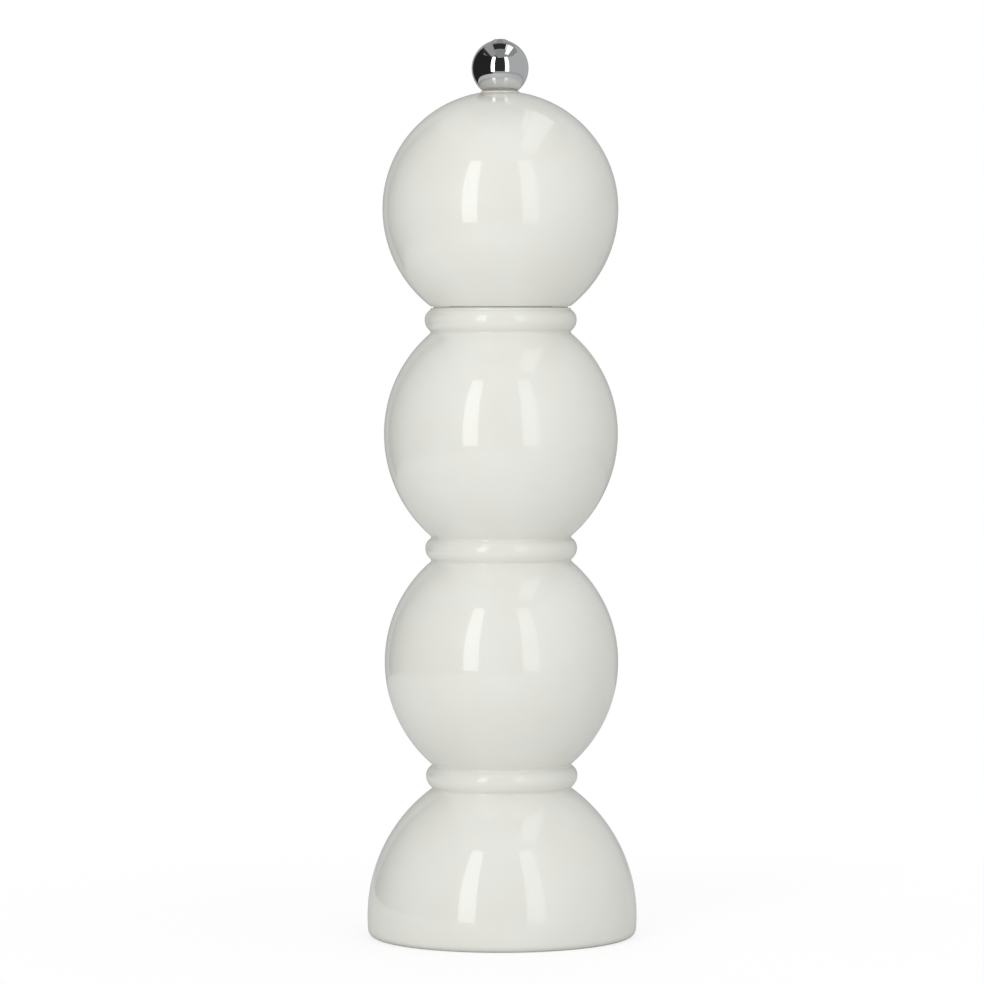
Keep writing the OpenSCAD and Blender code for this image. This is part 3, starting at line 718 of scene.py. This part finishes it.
# %% [markdown]
# ## The head
#
# The head is one ball on a flat foot, with a tenon under it that drops into the body's mouth.
# Its lower arc stops at the foot and its upper arc at the bush's seat, so the two differ. The
# tenon and the bore are bare wood.

# %% Turn the head
HEAD_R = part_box("head_shell")[1].x
HEAD_FOOT_R = 18.65 * MM
SEAM_H = 0.4 * MM
HEAD_Z = BODY_TOP + SEAM_H
HEAD_MIDDLE_H = 26 * MM
HEAD_MIDDLE = HEAD_Z + HEAD_MIDDLE_H
HEAD_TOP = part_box("head_shell")[1].z
TENON_R = 13.6 * MM
TENON_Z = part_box("head_shell")[0].z
HEAD_BORE_R = 4.5 * MM
BUSH_FLANGE_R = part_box("top_bush")[1].x
BUSH_SEAT_R = BUSH_FLANGE_R + SEAT_GAP
BUSH_FLANGE_H = 0.9 * MM
BUSH_SEAT_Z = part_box("top_bush")[1].z - BUSH_FLANGE_H


def make_head():
    outline = Profile(closed=True)
    outline.to(HEAD_BORE_R, TENON_Z, bare=1)
    outline.to(TENON_R, TENON_Z, bare=1)
    outline.to(TENON_R, HEAD_Z, bare=1)
    swell(outline, HEAD_R, HEAD_FOOT_R, HEAD_MIDDLE, HEAD_Z - HEAD_MIDDLE)
    swell(outline, HEAD_R, BUSH_SEAT_R, HEAD_MIDDLE, HEAD_TOP - HEAD_MIDDLE)
    outline.to(BUSH_SEAT_R, BUSH_SEAT_Z, bare=1)
    outline.to(HEAD_BORE_R, BUSH_SEAT_Z, bare=1)
    return turned("lacquered_head", outline, white_lacquer, bare_beech, rounding=WOOD_ROUNDING)


head = make_head()
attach(head, "head")
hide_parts("head_shell")

# %% [markdown]
# ## The knob
#
# The knob is a polished steel ball, plated with chrome. It has a small flat underneath, where
# it sits on the bush, and a shallow land on top whose edge is bevelled into the ball. In a
# mirror finish every bump shows, so this profile is sanded less than the wood.

# %% Turn the knob
KNOB_R = (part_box("knob")[1].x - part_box("knob")[0].x) / 2
KNOB_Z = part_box("knob")[0].z
KNOB_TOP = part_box("knob")[1].z
KNOB_FLAT_R = 4.6 * MM
KNOB_LAND_R = 2.5 * MM
KNOB_LAND_BEVEL = 1.1 * MM
KNOB_BORE_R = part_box("knob_insert")[1].x + RUNNING_GAP
KNOB_BORE_H = 11.4 * MM
KNOB_BORE_TOP = KNOB_Z + KNOB_BORE_H


def make_knob():
    middle = KNOB_Z + math.sqrt(KNOB_R ** 2 - KNOB_FLAT_R ** 2)
    outline = Profile(closed=False)
    outline.to(0, KNOB_TOP)
    outline.to(KNOB_LAND_R - KNOB_LAND_BEVEL, KNOB_TOP)
    outline.arc((0, middle), KNOB_R, math.acos(KNOB_LAND_R / KNOB_R),
                -math.acos(KNOB_FLAT_R / KNOB_R), steps=180)
    outline.to(KNOB_BORE_R, KNOB_Z)
    outline.to(KNOB_BORE_R, KNOB_BORE_TOP)
    outline.to(0, KNOB_BORE_TOP)
    return turned("chrome_knob", outline, polished_chrome, rounding=0.07 * MM)


knob = make_knob()
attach(knob, "knob")
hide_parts("knob")

# %% [markdown]
# ## The shaft
#
# The shaft is a 6 mm square bar. Its corners are turned round so that it runs in the bridge,
# and both ends are turned down and threaded. All of that is one profile on the same lathe: the
# square is milled where the profile says `flats`, and the threads are cut where it gives a
# thread depth. It shows when the head is lifted off.

# %% Turn the shaft
SHAFT_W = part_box("shaft")[1].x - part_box("shaft")[0].x
SHAFT_CORNER_R = 3.9 * MM
SHAFT_END, SHAFT_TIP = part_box("shaft")[0].z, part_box("shaft")[1].z
THREAD_R = 2.5 * MM
THREAD_CORE_R = 2.01 * MM
THREAD_PITCH = 0.8 * MM
THREAD_CHAMFER = 0.6 * MM
SQUARE_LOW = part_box("rotor")[0].z
SQUARE_BELOW_BUSH = 1.2 * MM
SQUARE_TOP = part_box("top_bush")[0].z - SQUARE_BELOW_BUSH
CLIP_GROOVE_R = 2.7 * MM
CLIP_LOW, CLIP_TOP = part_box("stop_clip")[0].z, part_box("stop_clip")[1].z


def make_shaft():
    depth = THREAD_R - THREAD_CORE_R
    outline = Profile(closed=False)
    outline.to(0, SHAFT_END)
    outline.to(THREAD_CORE_R, SHAFT_END)
    outline.to(THREAD_R, SHAFT_END + THREAD_CHAMFER)
    outline.to(THREAD_R, SQUARE_LOW, thread=depth)
    outline.to(SHAFT_CORNER_R, SQUARE_LOW)
    outline.to(SHAFT_CORNER_R, CLIP_LOW - RUNNING_GAP, flats=1)
    outline.to(CLIP_GROOVE_R, CLIP_LOW - RUNNING_GAP, flats=1)
    outline.to(CLIP_GROOVE_R, CLIP_TOP + RUNNING_GAP, flats=1)
    outline.to(SHAFT_CORNER_R, CLIP_TOP + RUNNING_GAP, flats=1)
    outline.to(SHAFT_CORNER_R, SQUARE_TOP, flats=1)
    outline.to(THREAD_R, SQUARE_TOP, flats=1)
    outline.to(THREAD_R, SHAFT_TIP - THREAD_CHAMFER, thread=depth)
    outline.to(THREAD_CORE_R, SHAFT_TIP)
    outline.to(0, SHAFT_TIP)
    return turned("threaded_shaft", outline, steel_bar, rounding=0.0, steps=144,
                  pitch=THREAD_PITCH, flat_count=4, across_flats=SHAFT_W)


shaft = make_shaft()
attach(shaft, "spindle")
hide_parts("shaft")

# %% [markdown]
# ## Turned fittings
#
# Three small pieces are turned as well. The white sleeve in the body's mouth has a thin rim
# that lies in the seam and carries the head. The white bush in the head's top keeps the knob
# off the lacquer. The nut that holds the rotor is hexagon bar, milled like the shaft but with
# six flats, and its corners are turned off at both ends as on any nut.

# %% Turn the fittings
SLEEVE_BORE_R = 13.9 * MM
SLEEVE_RIM_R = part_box("mouth_collar")[1].x
SLEEVE_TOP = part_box("mouth_collar")[1].z
BUSH_R = 4.4 * MM
BUSH_BORE_R = 2.6 * MM
BUSH_LOW, BUSH_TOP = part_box("top_bush")[0].z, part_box("top_bush")[1].z
NUT_W = 8 * MM
THREAD_GAP = 0.06 * MM
NUT_BORE_R = THREAD_R + THREAD_GAP
NUT_LOW, NUT_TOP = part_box("rotor_nut")[0].z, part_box("rotor_nut")[1].z
NUT_CORNER_R = NUT_W / 2 / math.cos(math.pi / 6)
NUT_BEVEL = 0.35 * MM


def turned_fitting(name, corners, material, rounding, **milling):
    outline = Profile(closed=True)
    for radius, height, *flats in corners:
        outline.to(radius, height, flats=flats[0] if flats else 0.0)
    return turned(name, outline, material, rounding=rounding, steps=144, **milling)


sleeve = turned_fitting("mouth_sleeve", [
    (SLEEVE_BORE_R, COLLAR_LOW), (COLLAR_R, COLLAR_LOW), (COLLAR_R, BODY_TOP),
    (SLEEVE_RIM_R, BODY_TOP), (SLEEVE_RIM_R, SLEEVE_TOP), (SLEEVE_BORE_R, SLEEVE_TOP),
], white_nylon, 0.06 * MM)
bush = turned_fitting("knob_bush", [
    (BUSH_BORE_R, BUSH_LOW), (BUSH_R, BUSH_LOW), (BUSH_R, BUSH_SEAT_Z),
    (BUSH_FLANGE_R, BUSH_SEAT_Z), (BUSH_FLANGE_R, BUSH_TOP), (BUSH_BORE_R, BUSH_TOP),
], white_nylon, 0.08 * MM)
nut = turned_fitting("hexagon_nut", [
    (NUT_BORE_R, NUT_LOW), (NUT_W / 2, NUT_LOW), (NUT_CORNER_R, NUT_LOW + NUT_BEVEL, 1),
    (NUT_CORNER_R, NUT_TOP - NUT_BEVEL, 1), (NUT_W / 2, NUT_TOP, 1), (NUT_BORE_R, NUT_TOP),
], turned_steel, 0.0, flat_count=6, across_flats=NUT_W)
nut.data.transform(Matrix.Rotation(math.radians(30), 4, "Z"))
for fitting, rides_on, node, finish_slot in (
        (sleeve, "mill_body", "mouth_collar", "white_nylon"),
        (bush, "head", "top_bush", "white_nylon"),
        (nut, "spindle", "rotor_nut", "steel")):
    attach(fitting, rides_on)
    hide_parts(node)

# %% [markdown]
# ## The spring
#
# The spring follows a path, so the tree starts with a straight line of points and moves each
# to its place on the coil. A compression spring has closed coils at its ends and open ones
# between: its height rises slowly for one turn, faster for two and a half, and slowly again.
# A round wire is then swept along the path. The closed pitch is given in wire diameters.

# %% Sizes of the spring
SPRING_LOW, SPRING_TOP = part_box("spring")[0].z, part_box("spring")[1].z
WIRE_D = 0.9 * MM
SPRING_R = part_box("spring")[1].x - WIRE_D / 2
CLOSED_TURNS = 1.0
OPEN_TURNS = 2.5
CLOSED_PITCH = 1.04
POINTS_PER_TURN = 40
SPRING_INPUTS = {
    "Radius": ("NodeSocketFloat", SPRING_R),
    "Wire": ("NodeSocketFloat", WIRE_D),
    "Low": ("NodeSocketFloat", SPRING_LOW),
    "Top": ("NodeSocketFloat", SPRING_TOP),
    "Steel": ("NodeSocketMaterial", None),
}


def build_coiler():
    tree = geometry_tree("coil_the_spring", SPRING_INPUTS)
    given = add(tree, "NodeGroupInput").outputs
    turns = OPEN_TURNS + 2 * CLOSED_TURNS
    line = add(tree, "GeometryNodeCurvePrimitiveLine")
    points = add(tree, "GeometryNodeResampleCurve",
                 {"Curve": line.outputs["Curve"], "Count": int(turns * POINTS_PER_TURN)})
    share = add(tree, "GeometryNodeSplineParameter").outputs["Factor"]
    turn = calculate(tree, "MULTIPLY", share, turns)
    angle = calculate(tree, "MULTIPLY", turn, 2 * math.pi)
    closed_rise = calculate(tree, "MULTIPLY", given["Wire"], CLOSED_PITCH)
    room = calculate(tree, "SUBTRACT",
                     calculate(tree, "SUBTRACT", given["Top"], given["Low"]), given["Wire"])
    open_rise = calculate(tree, "DIVIDE", calculate(
        tree, "SUBTRACT", room, calculate(tree, "MULTIPLY", closed_rise, 2 * CLOSED_TURNS)),
        OPEN_TURNS)
    open_turn = calculate(tree, "MINIMUM", calculate(
        tree, "MAXIMUM", calculate(tree, "SUBTRACT", turn, CLOSED_TURNS), 0.0), OPEN_TURNS)
    closed_turn = calculate(tree, "SUBTRACT", turn, open_turn)
    rise = calculate(tree, "ADD", calculate(tree, "MULTIPLY", closed_turn, closed_rise),
                     calculate(tree, "MULTIPLY", open_turn, open_rise))
    start = calculate(tree, "ADD", given["Low"],
                      calculate(tree, "DIVIDE", given["Wire"], 2.0))
    place = add(tree, "ShaderNodeCombineXYZ", {
        "X": calculate(tree, "MULTIPLY", given["Radius"], calculate(tree, "COSINE", angle)),
        "Y": calculate(tree, "MULTIPLY", given["Radius"], calculate(tree, "SINE", angle)),
        "Z": calculate(tree, "ADD", start, rise)})
    coil = add(tree, "GeometryNodeSetPosition",
               {"Geometry": points.outputs["Curve"], "Position": place.outputs[0]})
    wire = add(tree, "GeometryNodeCurvePrimitiveCircle", {
        "Resolution": 20, "Radius": calculate(tree, "DIVIDE", given["Wire"], 2.0)})
    swept = add(tree, "GeometryNodeCurveToMesh", {
        "Curve": coil.outputs["Geometry"], "Profile Curve": wire.outputs["Curve"],
        "Fill Caps": True})
    realized = add(tree, "GeometryNodeRealizeInstances", {"Geometry": swept.outputs["Mesh"]})
    steel = add(tree, "GeometryNodeSetMaterial",
                {"Geometry": realized.outputs["Geometry"], "Material": given["Steel"]})
    add(tree, "NodeGroupOutput", {"Geometry": steel.outputs["Geometry"]})
    return tree


# %% Coil the spring
spring = run_tree(new_piece("coil_spring", [(0, 0, 0)]), build_coiler(), {
    "Radius": SPRING_R, "Wire": WIRE_D, "Low": SPRING_LOW, "Top": SPRING_TOP,
    "Steel": spring_steel})
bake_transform(spring, "drive", "spindle", start=(0, 0, SPRING_TOP), end=(0, 0, SPRING_LOW))
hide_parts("spring")
print("spring points:", len(spring.data.vertices))

# %% [markdown]
# ## Pieces whose shape is right already
#
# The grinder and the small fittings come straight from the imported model, teeth and all. They
# only need their finish. Each node's material slots are filled with it.

# %% Finish the other pieces
NODE_FINISH = {
    "grinder_housing": black_nylon,
    "housing_screws": steel_bar,
    "stator": ceramic,
    "stator_circlip": spring_steel,
    "spring_washer": steel_sheet,
    "stop_clip": spring_steel,
    "feed_screw": black_nylon,
    "rotor": ceramic,
    "rotor_washer": steel_sheet,
    "driver_plate": steel_sheet,
    "plate_screws": steel_bar,
    "knob_insert": turned_brass,
    "lock_ring": white_nylon,
}


for node, material in NODE_FINISH.items():
    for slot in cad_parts[node].material_slots:
        slot.material = material
print("finished", len(NODE_FINISH), "nodes")

# %% [markdown]
# ## The table
#
# The mill stands on a small white table that runs out to pure white before its edge. Light
# Path's Is Camera Ray keeps that white out of the lighting: the camera sees the table as
# slightly brighter than it is, and the mill is lit by the real surface. In the mill's own
# reflections the table is a quieter grey. Near the mill it stays a matt surface that takes a
# shadow. Seen from below it is clear, and it has a round hole that the foot covers, so that
# the grinder can be looked at, and is lit, from underneath.

# %% Lay the table
TABLE_R = 0.55
TABLE_SIDES = 96
HOLE_R = BASE_R - FOOT_EDGE_R
SHADOW_R = 0.22
TABLE_LIT = 0.79
TABLE_IN_REFLECTIONS = 0.63
TABLE_SHADE = 0.32
TABLE_GLOW = 0.72


def matt_grey(tree, grey):
    return add(tree, "ShaderNodeBsdfDiffuse", {"Color": (grey, grey, grey, 1)}).outputs[0]


def make_table_white():
    """Nearly white with a soft shadow for the camera, and a plain matt grey for all else."""
    material = bpy.data.materials.new("table_white")
    material.use_nodes = True
    tree = material.node_tree
    tree.nodes.clear()
    place = add(tree, "ShaderNodeTexCoord").outputs["Object"]
    away = add(tree, "ShaderNodeVectorMath", {0: place}, operation="LENGTH").outputs["Value"]
    outer = between(tree, away, 0, 1, SHADOW_R * 0.5, SHADOW_R)
    lift = add(tree, "ShaderNodeEmission", {"Strength": TABLE_GLOW})
    lifted = add(tree, "ShaderNodeAddShader", {0: matt_grey(tree, TABLE_SHADE),
                                               1: lift.outputs[0]})
    white = add(tree, "ShaderNodeEmission", {"Strength": 1.0})
    faded = add(tree, "ShaderNodeMixShader", {0: outer, 1: lifted.outputs[0],
                                              2: white.outputs[0]})
    path = add(tree, "ShaderNodeLightPath").outputs
    unseen = add(tree, "ShaderNodeMixShader", {0: path["Is Glossy Ray"],
                                               1: matt_grey(tree, TABLE_LIT),
                                               2: matt_grey(tree, TABLE_IN_REFLECTIONS)})
    seen = add(tree, "ShaderNodeMixShader", {0: path["Is Camera Ray"], 1: unseen.outputs[0],
                                             2: faded.outputs[0]})
    below = add(tree, "ShaderNodeNewGeometry").outputs["Backfacing"]
    clear = add(tree, "ShaderNodeBsdfTransparent")
    both = add(tree, "ShaderNodeMixShader", {0: below, 1: seen.outputs[0],
                                             2: clear.outputs[0]})
    add(tree, "ShaderNodeOutputMaterial", {"Surface": both.outputs[0]})
    return material


def lay_table():
    """A flat ring from the hole under the foot to the table's edge."""
    points = [(radius * math.cos(a), radius * math.sin(a), 0) for radius in (HOLE_R, TABLE_R)
              for a in np.linspace(0, 2 * math.pi, TABLE_SIDES, endpoint=False)]
    faces = [(i, i + TABLE_SIDES, (i + 1) % TABLE_SIDES + TABLE_SIDES, (i + 1) % TABLE_SIDES)
             for i in range(TABLE_SIDES)]
    table = new_piece("table", points, faces=faces)
    table.data.materials.append(make_table_white())
    return table


table = lay_table()
print("table faces up:", table.data.polygons[0].normal.z > 0)

# %% [markdown]
# ## The lights
#
# Two tall strip lamps stand in front, one bright at the left and one weaker at the right. A
# strip lamp does two jobs: it models the round forms softly, and its reflection is the long
# highlight that makes lacquer look wet. A white card behind each strip makes its reflection
# crisp. Two fills, which no reflection shows, light the front and the back softly, and a plain
# white world fills the rest evenly.
#
# A mirror finish needs something dark to reflect as well, or it looks like grey paint. So
# there are a few studio flags, seen in reflections alone: they are hidden from the camera and
# throw no shadow.

# %% Directions and lamps
LAMP_DISTANCE = 0.85
CEILING = 1.3
MIDDLE = cad_box[1].z / 2


def direction(azimuth, elevation):
    """From the mill towards an azimuth, right of the camera, and an elevation, in degrees."""
    a, e = math.radians(azimuth), math.radians(elevation)
    return np.array([math.sin(a) * math.cos(e), -math.cos(a) * math.cos(e), math.sin(e)])


def add_lamp(name, width, height, radiance, place, turn):
    data = bpy.data.lights.new(name, "AREA")
    data.shape = "RECTANGLE"
    data.size, data.size_y = width, height
    data.energy = radiance * math.pi * width * height
    lamp = bpy.data.objects.new(name, data)
    bpy.context.scene.collection.objects.link(lamp)
    lamp.location = place
    lamp.rotation_euler = turn
    lamp.visible_camera = False
    return lamp


print("lamps aim at a height of", round(MIDDLE / MM, 1), "mm")


# %% Strip lamps and cards
def add_card(name, points, faces, grey):
    """A card that is seen in reflections alone."""
    card = new_piece(name, points, faces=faces)
    material = bpy.data.materials.new(name)
    material.use_nodes = True
    tree = material.node_tree
    tree.nodes.clear()
    glow = add(tree, "ShaderNodeEmission", {"Color": (grey, grey, grey, 1), "Strength": 1.0})
    add(tree, "ShaderNodeOutputMaterial", {"Surface": glow.outputs[0]})
    card.data.materials.append(material)
    card.visible_camera = False
    card.visible_diffuse = False
    card.visible_shadow = False
    card.visible_transmission = False
    return card


BEHIND_LAMP = 1.01


def add_strip(name, from_azimuth, to_azimuth, from_elevation, to_elevation, radiance, glow=0.0):
    """A tall lamp that fills the given angles as the mill sees them, and, when a glow is given, a card
    behind it.
    """
    middle = (from_azimuth + to_azimuth) / 2
    width = 2 * LAMP_DISTANCE * math.tan(math.radians(to_azimuth - from_azimuth) / 2)
    low, high = (LAMP_DISTANCE * math.tan(math.radians(e))
                 for e in (from_elevation, to_elevation))
    foot = LAMP_DISTANCE * direction(middle, 0)
    across = width / 2 * direction(middle + 90, 0)
    if glow:
        corners = [BEHIND_LAMP * foot + side * across + (0, 0, MIDDLE + height)
                   for side, height in ((-1, low), (1, low), (1, high), (-1, high))]
        add_card(name + "_card", corners, [(0, 1, 2, 3)], glow)
    return add_lamp(name, width, high - low, radiance,
                    (foot[0], foot[1], MIDDLE + (low + high) / 2),
                    (math.pi / 2, 0, math.radians(middle)))


CARD_DISTANCE = 1.4


def add_flag(name, from_azimuth, to_azimuth, from_elevation, to_elevation, grey, steps=24):
    """A curved card round the mill that fills the given angles."""
    azimuths = np.linspace(from_azimuth, to_azimuth, steps + 1)
    elevations = np.linspace(from_elevation, to_elevation, steps + 1)
    points = [CARD_DISTANCE * direction(a, e) + (0, 0, MIDDLE)
              for e in elevations for a in azimuths]
    row = steps + 1
    faces = [(i + j * row, i + 1 + j * row, i + 1 + (j + 1) * row, i + (j + 1) * row)
             for j in range(steps) for i in range(steps)]
    return add_card(name, points, faces, grey)


def add_ceiling(name, from_x, to_x, from_y, to_y, grey):
    """A flat card over the mill. Its sides are given as shares of its height."""
    corners = [(from_x, from_y), (to_x, from_y), (to_x, to_y), (from_x, to_y)]
    points = [(x * CEILING, y * CEILING, MIDDLE + CEILING) for x, y in corners]
    return add_card(name, points, [(0, 1, 2, 3)], grey)


print("strips at", LAMP_DISTANCE, "m and flags at", CARD_DISTANCE, "m")


# %% Light the mill
def light_world(strength):
    """White where it is seen directly or in a reflection, and a soft even fill elsewhere."""
    world = bpy.data.worlds.new("studio")
    world.use_nodes = True
    bpy.context.scene.world = world
    tree = world.node_tree
    tree.nodes.clear()
    path = add(tree, "ShaderNodeLightPath").outputs
    seen = calculate(tree, "MAXIMUM", path["Is Camera Ray"], calculate(
        tree, "MAXIMUM", path["Is Glossy Ray"], path["Is Transmission Ray"]))
    white = (1, 1, 1, 1)
    fill = add(tree, "ShaderNodeBackground", {"Color": white, "Strength": strength})
    back = add(tree, "ShaderNodeBackground", {"Color": white, "Strength": 1.0})
    both = add(tree, "ShaderNodeMixShader", {0: seen, 1: fill.outputs[0], 2: back.outputs[0]})
    add(tree, "ShaderNodeOutputWorld", {"Surface": both.outputs[0]})


light_world(0.63)
add_strip("left_strip", -37.3, -22.2, -8, 47, 1.7, glow=1.1)
add_strip("right_strip", 20.8, 37.2, -8, 47, 0.65, glow=1.0)
add_lamp("over_right", 0.27 * CEILING, 1.08 * CEILING, 1.0,
         (0.44 * CEILING, 0, MIDDLE + CEILING - 0.02), (0, 0, 0))
for fill in (add_strip("front_fill", -36, 14, -5, 42, 0.88),
             add_strip("back_fill", 152, 208, -5, 42, 0.75)):
    fill.visible_glossy = False


# %% Hang the flags and the ceiling
FLAGS = {
    "flag_front": (-31, 29, -10, 45, 0.03),
    "flag_left": (-146, -31, -38, 45, 0.02),
    "flag_right": (29, 150, -10, 45, 0.48),
    "flag_back": (150, 214, -10, 45, 0.38),
    "flag_low": (-31, 214, -38, -10, 0.42),
}
for name, (from_a, to_a, from_e, to_e, grey) in FLAGS.items():
    add_flag(name, from_a, to_a, from_e, to_e, grey)
CEILINGS = {
    "ceiling_left": (-1.0, -0.70, -1.0, 1.0, 0.04),
    "ceiling_corner": (-0.70, -0.28, -1.0, -0.70, 0.04),
    "ceiling_panel": (-0.70, -0.28, -0.70, 1.0, 0.35),
    "ceiling_front": (-0.28, 0.30, -1.0, -0.12, 0.28),
    "ceiling_middle": (-0.28, 0.24, -0.12, 0.50, 0.03),
    "ceiling_back": (-0.28, 0.30, 0.50, 1.0, 0.30),
    "ceiling_right": (0.30, 1.0, -1.0, 1.0, 0.30),
}
for name, (from_x, to_x, from_y, to_y, grey) in CEILINGS.items():
    add_ceiling(name, from_x, to_x, from_y, to_y, grey)
print("cards:", len(FLAGS) + len(CEILINGS))

# %% [markdown]
# ## Finish
#
# The view transform is set to Standard, so that colours come out as they are written.

# %% Set the view transform
bpy.context.scene.view_settings.view_transform = "Standard"
